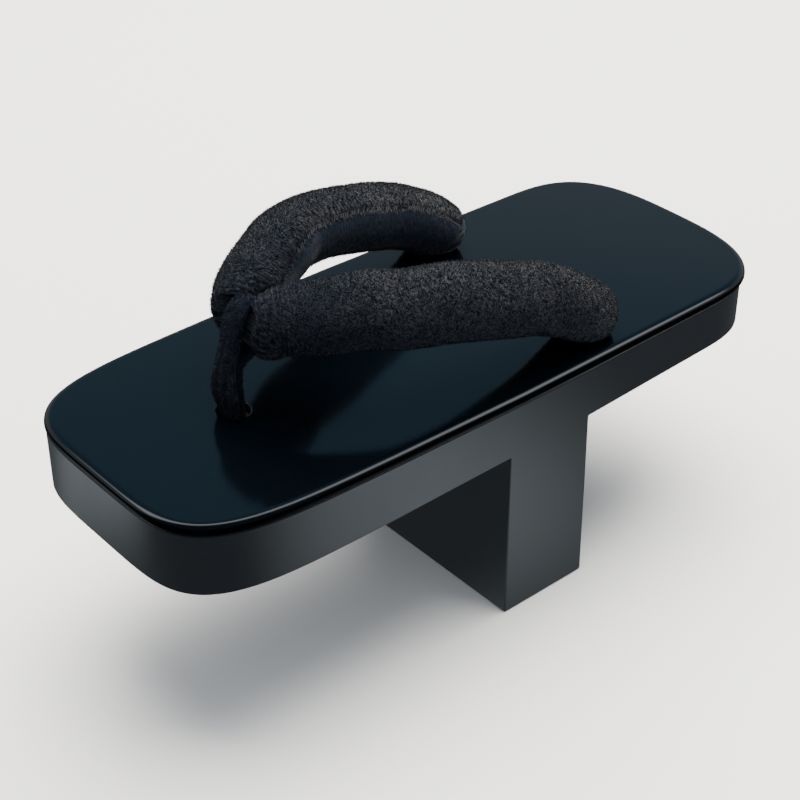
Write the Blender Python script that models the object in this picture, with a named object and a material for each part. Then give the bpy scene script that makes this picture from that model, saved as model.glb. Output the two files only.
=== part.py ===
"""One-tooth geta sandal: a wooden block with a top board, a padded thong and its toe loop.

Metres, +Z up. The origin is on the floor under the middle of the deck, the toe points to -Y,
and the sandal is the same on both sides of x = 0.
"""

import math
from collections import namedtuple

import bmesh
import bpy
from mathutils import Vector

# Deck, seen from above
DECK_LENGTH = 0.2600
DECK_WIDTH = 0.1073
SIDE_BOW = 0.0030  # how far the sides draw in towards the ends
TOE_ROUNDING = 0.0761  # length that the toe's rounding takes
TOE_SQUARENESS = 4.6  # exponent of the rounding: 2 is an ellipse, more is squarer
HEEL_ROUNDING = 0.0386
HEEL_SQUARENESS = 2.95

# Block: deck and tooth in one piece
BLOCK_THICKNESS = 0.0199  # deck of the block, at the middle
UNDERSIDE_SLOPE = 0.0029  # thicker at the toe and thinner at the heel by this much
TOOTH_HEIGHT = 0.0667
TOOTH_FRONT_Y = -0.0057
TOOTH_THICKNESS = 0.0365
TOOTH_FLARE = 0.0011  # the tooth's back stands out this much more at the foot
EDGE_ROUNDING = 0.0007

# Top board, nearly flush with the block except at the heel
BOARD_THICKNESS = 0.0034
BOARD_TOP_ROUNDING = 0.0026
BOARD_LOWER_ROUNDING = 0.0005
OVERHANG_SIDE = 0.0003
OVERHANG_TOE = 0.0003
OVERHANG_HEEL = 0.0030
SEAT_GAP = 0.0003  # between pieces that lie on each other
CUT_MARGIN = 0.0020  # how far a cutter runs past what it cuts

# Holes for the thong
TOE_HOLE_Y = -0.0780
REAR_HOLE_X = 0.0405
REAR_HOLE_Y = 0.0420
HOLE_RADIUS = 0.0055
COUNTERBORE_RADIUS = 0.0075
COUNTERBORE_DEPTH = 0.0090

# Thong: two padded rolls that meet at the toe loop
JOINT_Y = -0.0720
ROLL_RISE = 0.0343  # highest point of the roll's middle line over the deck
ROLL_WIDTH = 0.0292
ROLL_DEPTH = 0.0256
NECK_WIDTH = 0.0130  # where the toe loop grips the thong
NECK_DEPTH = 0.0170
NECK_SLACK = 0.0012  # neck left bare on each side of the toe loop's band
TAIL_RADIUS = 0.0042
TAIL_ROOT = 0.0040  # height over the deck at which a tail starts inside its roll
KNOT_RADIUS = 0.0064

# Toe loop: a band of gathered cloth round the neck, and its stem
LOOP_WIDTH = 0.0084
LOOP_THICKNESS = 0.0034
STEM_WIDTH = 0.0104
STEM_DEPTH = 0.0092

# Fineness of the mesh
CORNER_STEPS = 15
ROUNDING_STEPS = 4
ROLL_SIDES = 20
DOME_STEPS = 4
KNOT_STEPS = 6
STEPS_PER_STATION = 3
CORD_SIDES = 14
HOLE_SIDES = 24
BAND_STEPS = 28

DECK_TOP = TOOTH_HEIGHT + BLOCK_THICKNESS + SEAT_GAP + BOARD_THICKNESS
NECK_END = LOOP_WIDTH / 2 + NECK_SLACK

# The +X roll's middle line and section, from the end of the neck to the rear hole.
# back: share of the way from the joint to the rear hole; out: share of the way from the
# neck's end to the rear hole's x; rise: share of ROLL_RISE; width, depth: shares of what the
# roll's size has beyond the neck's size; lean: degrees that the outer side tips down.
RollStation = namedtuple("RollStation", "back out rise width depth lean")
ROLL_STATIONS = (
    (0.003, 0.000, 0.830, 0.000, 0.000, 0),
    (0.027, 0.043, 0.856, 0.489, 0.544, 2),
    (0.066, 0.103, 0.920, 0.719, 0.808, 6),
    (0.117, 0.226, 0.952, 0.831, 0.879, 11),
    (0.184, 0.374, 0.968, 0.875, 0.897, 16),
    (0.262, 0.511, 0.994, 0.922, 0.908, 20),
    (0.355, 0.694, 0.967, 0.968, 0.949, 21),
    (0.490, 0.796, 0.916, 0.995, 0.976, 22),
    (0.640, 0.876, 0.783, 0.979, 1.010, 22),
    (0.794, 0.914, 0.621, 0.897, 0.980, 21),
    (0.922, 0.942, 0.396, 0.836, 0.915, 20),
    (0.992, 0.955, 0.221, 0.776, 0.840, 20),
)
ROLL_TIP = (1.048, 1.084, 0.018)  # back, out and rise of the domed end's tip

# The toe loop's stem from the band down to the hole.
# rise: share of ROLL_RISE; back: share of the way from the toe hole to the joint;
# width, depth: shares of the stem's size.
StemStation = namedtuple("StemStation", "rise back width depth")
STEM_STATIONS = (
    (0.60, -0.22, 0.66, 0.46),
    (0.50, -0.20, 0.72, 0.66),
    (0.40, -0.10, 0.80, 0.80),
    (0.28, 0.00, 0.95, 0.95),
    (0.16, 0.02, 1.00, 1.00),
    (0.07, 0.00, 0.92, 0.96),
)
STEM_TIP = (0.68, -0.15)  # rise and back of the stem's upper end, inside the band


def rounding(turn, squareness):
    """Share of the length and of the width left at a turn round a corner, from side to tip."""
    return (
        math.sin(turn) ** (2 / squareness),
        math.cos(turn) ** (2 / squareness),
    )


def bowed(half, y):
    """Half width of the deck at y, before its corners are rounded."""
    return half - SIDE_BOW * (2 * y / DECK_LENGTH) ** 2


def right_side(half, toe_end, heel_end, stations=()):
    """Outline points (x, y) of the +X side, from the toe's tip to the heel's tip."""
    toe_start = TOE_ROUNDING - DECK_LENGTH / 2
    heel_start = DECK_LENGTH / 2 - HEEL_ROUNDING
    points = [(0.0, toe_end)]
    for step in range(CORNER_STEPS - 1, 0, -1):
        length, width = rounding(math.pi / 2 * step / CORNER_STEPS, TOE_SQUARENESS)
        y = toe_start + (toe_end - toe_start) * length
        points.append((bowed(half, y) * width, y))
    for y in sorted((toe_start, 0.0, heel_start, *stations)):
        points.append((bowed(half, y), y))
    for step in range(1, CORNER_STEPS):
        length, width = rounding(math.pi / 2 * step / CORNER_STEPS, HEEL_SQUARENESS)
        y = heel_start + (heel_end - heel_start) * length
        points.append((bowed(half, y) * width, y))
    points.append((0.0, heel_end))
    return points


def whole_outline(side):
    """The +X side and its mirror image as one loop, anticlockwise from above."""
    return side + [(-x, y) for x, y in side[-2:0:-1]]


def inset(outline, distance):
    """The outline moved inwards by a distance, along its normals."""
    moved = []
    for index, (x, y) in enumerate(outline):
        before = Vector(outline[index - 1])
        after = Vector(outline[(index + 1) % len(outline)])
        along = (after - before).normalized()
        moved.append((x - along.y * distance, y + along.x * distance))
    return moved


def new_object(name, bm, material):
    """A mesh object from a bmesh, with outward normals and smooth round faces."""
    bmesh.ops.recalc_face_normals(bm, faces=bm.faces)
    mesh = bpy.data.meshes.new(name)
    bm.to_mesh(mesh)
    bm.free()
    mesh.shade_smooth()
    mesh.set_sharp_from_angle(angle=math.radians(40))
    if material:
        mesh.materials.append(material)
    made = bpy.data.objects.new(name, mesh)
    bpy.context.scene.collection.objects.link(made)
    return made


def loft(bm, rings, first_tip=None, last_tip=None):
    """Skins rings of points; each end is a flat cap, or a fan to a tip."""
    loops = [[bm.verts.new(point) for point in ring] for ring in rings]
    count = len(loops[0])
    for lower, upper in zip(loops, loops[1:]):
        for index in range(count):
            after = (index + 1) % count
            bm.faces.new((lower[index], lower[after], upper[after], upper[index]))
    for loop, tip in ((loops[0], first_tip), (loops[-1], last_tip)):
        if tip is None:
            bm.faces.new(loop)
            continue
        point = bm.verts.new(tip)
        for index in range(count):
            bm.faces.new((loop[index], loop[(index + 1) % count], point))


def circle(x, y, z, radius, sides):
    """Points of a level circle."""
    turns = [2 * math.pi * step / sides for step in range(sides)]
    return [(x + radius * math.cos(turn), y + radius * math.sin(turn), z) for turn in turns]


def cutter(name, bm):
    """An object that only cuts: the build leaves it out."""
    made = new_object(name, bm, None)
    made.hide_render = True
    made.display_type = "WIRE"
    return made


def boolean(target, other, operation):
    """Adds a Boolean modifier to the target and gives it back."""
    modifier = target.modifiers.new(operation.lower(), "BOOLEAN")
    modifier.operation = operation
    modifier.solver = "EXACT"
    modifier.object = other
    return modifier


def finish_material(name, color, roughness, coat=0.0, sheen=0.0):
    """A Principled material."""
    material = bpy.data.materials.new(name)
    material.use_nodes = True
    shader = material.node_tree.nodes["Principled BSDF"]
    shader.inputs["Base Color"].default_value = (*color, 1)
    shader.inputs["Roughness"].default_value = roughness
    shader.inputs["Metallic"].default_value = 0.0
    shader.inputs["Coat Weight"].default_value = coat
    shader.inputs["Sheen Weight"].default_value = sheen
    return material


def underside(y):
    """Height of the deck's underside at y."""
    return TOOTH_HEIGHT + UNDERSIDE_SLOPE * 2 * y / DECK_LENGTH


def hole_places():
    """Centres of the toe hole and of the two rear holes."""
    return ((0.0, TOE_HOLE_Y), (REAR_HOLE_X, REAR_HOLE_Y), (-REAR_HOLE_X, REAR_HOLE_Y))


def hole_cutters(name, with_counterbores):
    """Cylinders for the three holes, stepped where their counterbores are cut too."""
    bm = bmesh.new()
    above = DECK_TOP + CUT_MARGIN
    for x, y in hole_places():
        step = underside(y) + COUNTERBORE_DEPTH
        below = underside(y) - CUT_MARGIN
        levels = [(above, HOLE_RADIUS), (below, HOLE_RADIUS)]
        if with_counterbores:
            levels = [
                (above, HOLE_RADIUS),
                (step, HOLE_RADIUS),
                (step, COUNTERBORE_RADIUS),
                (below, COUNTERBORE_RADIUS),
            ]
        loft(bm, [circle(x, y, z, radius, HOLE_SIDES) for z, radius in levels])
    return cutter(name, bm)


def make_block(material):
    """Deck and tooth as one solid; the tooth's sides run on from the deck's sides."""
    half = DECK_WIDTH / 2 - OVERHANG_SIDE
    toe_end = OVERHANG_TOE - DECK_LENGTH / 2
    heel_end = DECK_LENGTH / 2 - OVERHANG_HEEL
    tooth_back = TOOTH_FRONT_Y + TOOTH_THICKNESS
    side = right_side(half, toe_end, heel_end, (TOOTH_FRONT_Y, tooth_back))
    outline = whole_outline(side)
    deck_top = TOOTH_HEIGHT + BLOCK_THICKNESS

    bm = bmesh.new()
    top = [bm.verts.new((x, y, deck_top)) for x, y in outline]
    under = [bm.verts.new((x, y, underside(y))) for x, y in outline]
    foot = {}
    for index, (x, y) in enumerate(outline):
        if TOOTH_FRONT_Y <= y <= tooth_back:
            foot_y = y + TOOTH_FLARE * (y - TOOTH_FRONT_Y) / TOOTH_THICKNESS
            foot_x = math.copysign(bowed(half, foot_y), x)
            foot[index] = bm.verts.new((foot_x, foot_y, 0.0))

    count = len(outline)
    bm.faces.new(top)
    for index in range(count):
        after = (index + 1) % count
        bm.faces.new((top[index], under[index], under[after], top[after]))
        if index in foot and after in foot:
            bm.faces.new((under[index], foot[index], foot[after], under[after]))
    bm.faces.new(list(foot.values()))
    right = [index for index in foot if outline[index][0] > 0]
    left = [index for index in foot if outline[index][0] < 0]
    for right_one, left_one in ((right[0], left[-1]), (right[-1], left[0])):
        bm.faces.new((under[right_one], under[left_one], foot[left_one], foot[right_one]))
    bm.faces.new(under[left[-1]:] + under[: right[0] + 1])
    bm.faces.new(under[right[-1]: left[0] + 1])

    block = new_object("block", bm, material)
    bevel = block.modifiers.new("edges", "BEVEL")
    bevel.width = EDGE_ROUNDING
    bevel.segments = 2
    bevel.limit_method = "ANGLE"
    bevel.angle_limit = math.radians(40)
    boolean(block, hole_cutters("block_hole_cutter", True), "DIFFERENCE")
    return block


def make_top_board(material):
    """The lacquered board, rounded along its edge, with the same three holes."""
    toe_end = -DECK_LENGTH / 2
    heel_end = DECK_LENGTH / 2
    outline = whole_outline(right_side(DECK_WIDTH / 2, toe_end, heel_end))
    bottom = DECK_TOP - BOARD_THICKNESS
    profile = []
    for step in range(ROUNDING_STEPS // 2 + 1):
        turn = math.pi / ROUNDING_STEPS * step
        into = BOARD_LOWER_ROUNDING * (1 - math.sin(turn))
        profile.append((into, bottom + BOARD_LOWER_ROUNDING * (1 - math.cos(turn))))
    for step in range(ROUNDING_STEPS + 1):
        turn = math.pi / 2 * step / ROUNDING_STEPS
        into = BOARD_TOP_ROUNDING * (1 - math.cos(turn))
        profile.append((into, DECK_TOP - BOARD_TOP_ROUNDING * (1 - math.sin(turn))))
    bm = bmesh.new()
    rings = [[(x, y, z) for x, y in inset(outline, into)] for into, z in profile]
    loft(bm, rings)
    board = new_object("top_board", bm, material)
    boolean(board, hole_cutters("board_hole_cutter", False), "DIFFERENCE")
    return board


def blend_rows(rows, steps):
    """Rows between the given ones on a smooth Catmull-Rom curve, each interval in steps."""
    blended = []
    for index in range(len(rows) - 1):
        near = rows[index]
        far = rows[index + 1]
        before = rows[max(index - 1, 0)]
        after = rows[min(index + 2, len(rows) - 1)]
        for step in range(steps):
            t = step / steps
            blended.append([
                0.5 * (2 * b + (c - a) * t + (2 * a - 5 * b + 4 * c - d) * t ** 2
                       + (3 * b - a - 3 * c + d) * t ** 3)
                for a, b, c, d in zip(before, near, far, after)
            ])
    blended.append(list(rows[-1]))
    return blended


def roll_point(back, out, rise):
    """A place on the roll's middle line."""
    return Vector((
        NECK_END + (REAR_HOLE_X - NECK_END) * out,
        JOINT_Y + (REAR_HOLE_Y - JOINT_Y) * back,
        DECK_TOP + ROLL_RISE * rise,
    ))


def oval_section(middle, along, width, depth, lean):
    """An oval ring round a middle point, square to a direction; its outer side leans down."""
    outward = along.cross(Vector((0, 0, 1))).normalized()
    upward = outward.cross(along)
    tip = math.radians(lean)
    across = outward * math.cos(tip) - upward * math.sin(tip)
    over = outward * math.sin(tip) + upward * math.cos(tip)
    ring = []
    for side in range(ROLL_SIDES):
        turn = 2 * math.pi * side / ROLL_SIDES
        reach = across * (width / 2 * math.cos(turn)) + over * (depth / 2 * math.sin(turn))
        ring.append(middle + reach)
    return ring


def roll_rings():
    """Sections of the +X roll, from the neck's end to its domed end over the rear hole."""
    rows = [RollStation(*row) for row in blend_rows(ROLL_STATIONS, STEPS_PER_STATION)]
    middles = [roll_point(row.back, row.out, row.rise) for row in rows]
    tip = roll_point(*ROLL_TIP)
    rings = []
    for index, (row, middle) in enumerate(zip(rows, middles)):
        after = middles[index + 1] if index + 1 < len(middles) else tip
        along = (after - middles[index - 1]).normalized() if index else Vector((1, 0, 0))
        width = NECK_WIDTH + (ROLL_WIDTH - NECK_WIDTH) * row.width
        depth = NECK_DEPTH + (ROLL_DEPTH - NECK_DEPTH) * row.depth
        rings.append(oval_section(middle, along, width, depth, row.lean))
    for step in range(1, DOME_STEPS):
        turn = math.pi / 2 * step / DOME_STEPS
        at = middle.lerp(tip, math.sin(turn))
        left = math.cos(turn)
        rings.append(oval_section(at, along, width * left, depth * left, row.lean))
    return rings


def mirrored(points):
    """The same points on the other side of x = 0."""
    return [Vector((-point[0], point[1], point[2])) for point in points]


def knotted_tail(x, y, top):
    """Rings and end point of a round tail, from top down to the knot in its counterbore."""
    half_height = COUNTERBORE_DEPTH / 2 - SEAT_GAP
    knot_middle = underside(y) + COUNTERBORE_DEPTH / 2
    rings = [circle(x, y, top, TAIL_RADIUS, CORD_SIDES)]
    root = math.asin(TAIL_RADIUS / KNOT_RADIUS)
    for step in range(KNOT_STEPS):
        turn = root + (math.pi - root) * step / KNOT_STEPS
        height = knot_middle + half_height * math.cos(turn)
        rings.append(circle(x, y, height, KNOT_RADIUS * math.sin(turn), CORD_SIDES))
    return rings, (x, y, knot_middle - half_height)


def make_thong(material):
    """Both rolls and the neck in one solid, flat where they lie on the board, with two tails."""
    rings = roll_rings()
    tip = roll_point(*ROLL_TIP)
    bm = bmesh.new()
    loft(bm, rings, last_tip=tip)
    loft(bm, [mirrored(ring) for ring in rings], last_tip=mirrored([tip])[0])
    thong = new_object("thong", bm, material)

    # room for the toe loop: the rolls touch each other only behind it
    bm = bmesh.new()
    bmesh.ops.create_cube(bm, size=1)
    slot_width = 2 * (NECK_END + SEAT_GAP)
    slot_back = roll_point(*ROLL_STATIONS[0][:3]).y + NECK_WIDTH / 2 + LOOP_THICKNESS
    slot_middle = slot_back + 3 * SEAT_GAP - DECK_LENGTH / 2
    bmesh.ops.scale(bm, vec=(slot_width, DECK_LENGTH, DECK_LENGTH), verts=bm.verts)
    bmesh.ops.translate(bm, vec=(0, slot_middle, DECK_TOP), verts=bm.verts)
    slot = boolean(thong, cutter("loop_slot_cutter", bm), "DIFFERENCE")
    slot.use_self = True

    bm = bmesh.new()
    neck = []
    for side in (-1, 1):
        middle = rings[0][0].copy()
        shift = Vector((side * (NECK_END + 2 * SEAT_GAP) - middle.x, 0, 0))
        neck.append([point + shift for point in rings[0]])
    loft(bm, neck)
    boolean(thong, cutter("thong_neck", bm), "UNION")

    bm = bmesh.new()
    bmesh.ops.create_cube(bm, size=1)
    bmesh.ops.scale(bm, vec=(DECK_LENGTH, DECK_LENGTH, ROLL_DEPTH), verts=bm.verts)
    rest_height = DECK_TOP + SEAT_GAP
    bmesh.ops.translate(bm, vec=(0, 0, rest_height - ROLL_DEPTH / 2), verts=bm.verts)
    boolean(thong, cutter("deck_plane_cutter", bm), "DIFFERENCE")

    bm = bmesh.new()
    for x in (REAR_HOLE_X, -REAR_HOLE_X):
        rings, end = knotted_tail(x, REAR_HOLE_Y, DECK_TOP + TAIL_ROOT)
        loft(bm, rings, last_tip=end)
    boolean(thong, cutter("thong_tails", bm), "UNION")
    return thong


def stem_point(rise, back):
    """A place on the middle line of the toe loop's stem."""
    y = TOE_HOLE_Y + (JOINT_Y - TOE_HOLE_Y) * back
    return (0.0, y, DECK_TOP + ROLL_RISE * rise)


def make_toe_loop(material):
    """The gathered band round the neck, its stem, and the tail with its knot."""
    neck = RollStation(*ROLL_STATIONS[0])
    middle = roll_point(neck.back, neck.out, neck.rise)
    middle.x = 0
    reach_y = NECK_WIDTH / 2 + SEAT_GAP + LOOP_THICKNESS / 2
    reach_z = NECK_DEPTH / 2 + SEAT_GAP + LOOP_THICKNESS / 2
    bm = bmesh.new()
    rings = []
    for step in range(BAND_STEPS):
        turn = 2 * math.pi * step / BAND_STEPS
        away = Vector((0, math.cos(turn) / reach_y, math.sin(turn) / reach_z)).normalized()
        at = middle + Vector((0, reach_y * math.cos(turn), reach_z * math.sin(turn)))
        ring = []
        for side in range(CORD_SIDES):
            angle = 2 * math.pi * side / CORD_SIDES
            across = Vector((LOOP_WIDTH / 2 * math.cos(angle), 0, 0))
            ring.append(at + across + away * (LOOP_THICKNESS / 2 * math.sin(angle)))
        rings.append([bm.verts.new(point) for point in ring])
    for index, ring in enumerate(rings):
        after = rings[(index + 1) % BAND_STEPS]
        for side in range(CORD_SIDES):
            next_side = (side + 1) % CORD_SIDES
            bm.faces.new((ring[side], ring[next_side], after[next_side], after[side]))
    band = new_object("toe_loop", bm, material)

    bm = bmesh.new()
    rings = []
    for row in (StemStation(*values) for values in blend_rows(STEM_STATIONS, 2)):
        _, y, z = stem_point(row.rise, row.back)
        reach_x = STEM_WIDTH / 2 * row.width
        reach_y = STEM_DEPTH / 2 * row.depth
        oval = circle(0, 0, z, 1, CORD_SIDES)
        rings.append([(px * reach_x, y + py * reach_y, pz) for px, py, pz in oval])
    tail, end = knotted_tail(0, TOE_HOLE_Y, DECK_TOP)
    loft(bm, rings + tail, first_tip=stem_point(*STEM_TIP), last_tip=end)
    boolean(band, cutter("toe_loop_stem", bm), "UNION")
    return band


for old in list(bpy.data.objects):
    bpy.data.objects.remove(old, do_unlink=True)

lacquer = finish_material("black_lacquer", (0.010, 0.015, 0.020), 0.10, coat=1.0)
satin_wood = finish_material("black_satin_wood", (0.030, 0.033, 0.037), 0.38)
velour = finish_material("black_velour", (0.012, 0.012, 0.014), 0.90, sheen=0.5)
cord_cloth = finish_material("black_cord_cloth", (0.010, 0.010, 0.012), 0.85, sheen=0.4)

make_block(satin_wood)
make_top_board(lacquer)
make_thong(velour)
make_toe_loop(cord_cloth)
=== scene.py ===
import math

import bmesh
import bpy
import numpy as np
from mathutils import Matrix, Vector


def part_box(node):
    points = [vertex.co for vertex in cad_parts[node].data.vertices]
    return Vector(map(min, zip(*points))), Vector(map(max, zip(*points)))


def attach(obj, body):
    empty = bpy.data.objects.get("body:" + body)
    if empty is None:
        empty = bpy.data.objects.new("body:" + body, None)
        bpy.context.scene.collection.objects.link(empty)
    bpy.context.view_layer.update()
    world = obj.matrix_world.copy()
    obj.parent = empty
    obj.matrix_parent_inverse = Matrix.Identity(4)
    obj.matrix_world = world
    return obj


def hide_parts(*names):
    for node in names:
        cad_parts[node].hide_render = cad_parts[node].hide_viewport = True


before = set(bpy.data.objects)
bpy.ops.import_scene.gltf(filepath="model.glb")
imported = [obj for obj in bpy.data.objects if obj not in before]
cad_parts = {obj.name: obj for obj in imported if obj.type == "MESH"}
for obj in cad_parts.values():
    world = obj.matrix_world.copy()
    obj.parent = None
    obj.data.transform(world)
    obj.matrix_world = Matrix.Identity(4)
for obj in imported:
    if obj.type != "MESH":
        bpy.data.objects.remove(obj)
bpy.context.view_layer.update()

# Camera: a short telephoto, held above the sandal's left side near the toe, level from side
# to side. Its place, direction and lens are those that put the deck where the photograph has it.
CAMERA_PLACE = (0.3899, -0.3396, 0.4097)
CAMERA_AZIMUTH = math.radians(49.653)
CAMERA_ELEVATION = math.radians(34.070)
CAMERA_LENS_MM = 79.83
SENSOR_MM = 36.0

camera_back = Vector((
    math.sin(CAMERA_AZIMUTH) * math.cos(CAMERA_ELEVATION),
    -math.cos(CAMERA_AZIMUTH) * math.cos(CAMERA_ELEVATION),
    math.sin(CAMERA_ELEVATION),
))
camera_data = bpy.data.cameras.new("camera")
camera_data.lens = CAMERA_LENS_MM
camera_data.sensor_width = SENSOR_MM
camera_data.clip_start = 0.01
camera = bpy.data.objects.new("camera", camera_data)
camera.location = CAMERA_PLACE
camera.rotation_euler = (-camera_back).to_track_quat("-Z", "Y").to_euler()
bpy.context.scene.collection.objects.link(camera)
bpy.context.scene.camera = camera

# Block: the sandal's wooden body, deck and tooth sawn from one piece, its edges just broken
# with sandpaper, with three holes bored through and counterbored from below. It is filled,
# sanded and sprayed satin black, so only a little of the grain still tells.
TOE_ROUNDING = 0.0761
TOE_SQUARENESS = 4.6
HEEL_ROUNDING = 0.0386
HEEL_SQUARENESS = 2.95
SIDE_BOW = 0.0030
UNDERSIDE_SLOPE = 0.0029
TOOTH_HEIGHT = 0.0667
TOOTH_FRONT_Y = -0.0057
TOOTH_THICKNESS = 0.0365
TOOTH_FLARE = 0.0011
EDGE_ROUNDING = 0.0007
TOE_HOLE_Y = -0.0780
REAR_HOLE = (0.0405, 0.0420)
HOLE_RADIUS = 0.0055
COUNTERBORE_RADIUS = 0.0075
COUNTERBORE_DEPTH = 0.0090
CORNER_STEPS = 44
SHARP_ANGLE = math.radians(40)
HOLE_SIDES = 64
SATIN_BLACK = (0.0055, 0.0065, 0.0080, 1)
SATIN_WORN = (0.0090, 0.0100, 0.0115, 1)

board_low, board_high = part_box("top_board")
block_low, block_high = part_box("block")
deck_half_length = (board_high.y - board_low.y) / 2
deck_top = board_high.z


def bowed(half, y):
    return half - SIDE_BOW * (y / deck_half_length) ** 2


def deck_outline(half, toe_end, heel_end, stations=()):
    """Points round the deck seen from above: bowed sides and two squared-off roundings."""
    toe_start = TOE_ROUNDING - deck_half_length
    heel_start = deck_half_length - HEEL_ROUNDING
    corners = []
    for start, end, squareness in (
        (toe_start, toe_end, TOE_SQUARENESS), (heel_start, heel_end, HEEL_SQUARENESS),
    ):
        corner = []
        for step in range(1, CORNER_STEPS):
            turn = math.pi / 2 * step / CORNER_STEPS
            y = start + (end - start) * math.sin(turn) ** (2 / squareness)
            corner.append((bowed(half, y) * math.cos(turn) ** (2 / squareness), y))
        corners.append(corner + [(0.0, end)])
    straight = [(bowed(half, y), y) for y in sorted((toe_start, 0.0, heel_start, *stations))]
    side = corners[0][::-1] + straight + corners[1]
    return side + [(-x, y) for x, y in side[-2:0:-1]]


def skin(bm, rings, first_cap=True, last_cap=True, closed=False):
    """Faces between rings of points, with flat caps or joined end to end."""
    loops = [[bm.verts.new(point) for point in ring] for ring in rings]
    count = len(loops[0])
    pairs = list(zip(loops, loops[1:])) + ([(loops[-1], loops[0])] if closed else [])
    for lower, upper in pairs:
        for index in range(count):
            after = (index + 1) % count
            bm.faces.new((lower[index], lower[after], upper[after], upper[index]))
    if first_cap and not closed:
        bm.faces.new(loops[0][::-1])
    if last_cap and not closed:
        bm.faces.new(loops[-1])
    return loops


def piece_from(name, bm, materials=()):
    """A smooth-shaded mesh object at the origin."""
    bmesh.ops.recalc_face_normals(bm, faces=bm.faces)
    mesh = bpy.data.meshes.new(name)
    bm.to_mesh(mesh)
    bm.free()
    mesh.shade_smooth()
    mesh.set_sharp_from_angle(angle=SHARP_ANGLE)
    for material in materials:
        mesh.materials.append(material)
    made = bpy.data.objects.new(name, mesh)
    bpy.context.scene.collection.objects.link(made)
    return made


def settle(piece):
    """Bakes a piece's modifiers into a plain mesh and takes them off."""
    graph = bpy.context.evaluated_depsgraph_get()
    mesh = bpy.data.meshes.new_from_object(piece.evaluated_get(graph), depsgraph=graph)
    piece.modifiers.clear()
    piece.data = mesh


def level_circle(x, y, z, radius):
    turns = [2 * math.pi * step / HOLE_SIDES for step in range(HOLE_SIDES)]
    return [(x + radius * math.cos(turn), y + radius * math.sin(turn), z) for turn in turns]


def cut(piece, cutter):
    """Cuts one piece with another and throws the cutter away."""
    boolean = piece.modifiers.new("holes", "BOOLEAN")
    boolean.object = cutter
    flat = piece.modifiers.new("flat faces stay flat", "WEIGHTED_NORMAL")
    flat.keep_sharp = True
    flat.weight = 100
    settle(piece)
    bpy.data.objects.remove(cutter)


def underside(y):
    return TOOTH_HEIGHT + UNDERSIDE_SLOPE * y / deck_half_length


hole_places = ((0.0, TOE_HOLE_Y), REAR_HOLE, (-REAR_HOLE[0], REAR_HOLE[1]))
half = block_high.x
tooth_back = TOOTH_FRONT_Y + TOOTH_THICKNESS
outline = deck_outline(half, block_low.y, block_high.y, (TOOTH_FRONT_Y, tooth_back))

bm = bmesh.new()
top = [bm.verts.new((x, y, block_high.z)) for x, y in outline]
under = [bm.verts.new((x, y, underside(y))) for x, y in outline]
foot = {}
for index, (x, y) in enumerate(outline):
    if TOOTH_FRONT_Y <= y <= tooth_back:
        foot_y = y + TOOTH_FLARE * (y - TOOTH_FRONT_Y) / TOOTH_THICKNESS
        foot[index] = bm.verts.new((math.copysign(bowed(half, foot_y), x), foot_y, 0.0))
bm.faces.new(top)
for index in range(len(outline)):
    after = (index + 1) % len(outline)
    bm.faces.new((top[index], under[index], under[after], top[after]))
    if index in foot and after in foot:
        bm.faces.new((under[index], foot[index], foot[after], under[after]))
bm.faces.new(list(foot.values()))
right = [index for index in foot if outline[index][0] > 0]
left = [index for index in foot if outline[index][0] < 0]
for one, other in ((right[0], left[-1]), (right[-1], left[0])):
    bm.faces.new((under[one], under[other], foot[other], foot[one]))
bm.faces.new(under[left[-1]:] + under[:right[0] + 1])
bm.faces.new(under[right[-1]:left[0] + 1])
block = piece_from("wood_block", bm)
bevel = block.modifiers.new("broken edges", "BEVEL")
bevel.width = EDGE_ROUNDING
bevel.segments = 4
bevel.limit_method = "ANGLE"
bevel.angle_limit = SHARP_ANGLE

bm = bmesh.new()
for x, y in hole_places:
    step_height = underside(y) + COUNTERBORE_DEPTH
    levels = (
        (deck_top, HOLE_RADIUS), (step_height, HOLE_RADIUS),
        (step_height, COUNTERBORE_RADIUS), (underside(y) - EDGE_ROUNDING * 3, COUNTERBORE_RADIUS),
    )
    skin(bm, [level_circle(x, y, z, radius) for z, radius in levels])
cut(block, piece_from("block holes", bm))


def new_material(name, color, roughness):
    """A node material with its Principled shader."""
    material = bpy.data.materials.new(name)
    material.use_nodes = True
    shader = material.node_tree.nodes["Principled BSDF"]
    shader.inputs["Base Color"].default_value = color
    shader.inputs["Roughness"].default_value = roughness
    return material, material.node_tree, shader


def add_node(tree, kind, values=(), **settings):
    """A node with its settings and its inputs' values."""
    node = tree.nodes.new(kind)
    for key, value in settings.items():
        setattr(node, key, value)
    for key, value in dict(values).items():
        node.inputs[key].default_value = value
    return node


def wire(tree, source, output, target, entry):
    """Joins one node's output to another's input."""
    tree.links.new(source.outputs[output], target.inputs[entry])


# Handling marks, shared by the satin and the gloss finish: cloudy patches where hands have
# rubbed, a fine orange peel from the spray gun, and fine dust.
marks = bpy.data.node_groups.new("handling_marks", "ShaderNodeTree")
for socket_name, kind, default in (
    ("Patch Size", "NodeSocketFloat", 30.0), ("Peel Size", "NodeSocketFloat", 600.0),
    ("Dust Size", "NodeSocketFloat", 500.0), ("Dust Share", "NodeSocketFloat", 0.04),
):
    made = marks.interface.new_socket(socket_name, in_out="INPUT", socket_type=kind)
    made.default_value = default
for socket_name in ("Patches", "Peel", "Dust"):
    marks.interface.new_socket(socket_name, in_out="OUTPUT", socket_type="NodeSocketFloat")
group_in = marks.nodes.new("NodeGroupInput")
group_out = marks.nodes.new("NodeGroupOutput")
place = marks.nodes.new("ShaderNodeTexCoord")
patches = add_node(marks, "ShaderNodeTexNoise", {"Detail": 5.0, "Roughness": 0.6})
peel = add_node(marks, "ShaderNodeTexNoise", {"Detail": 2.0})
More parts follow.
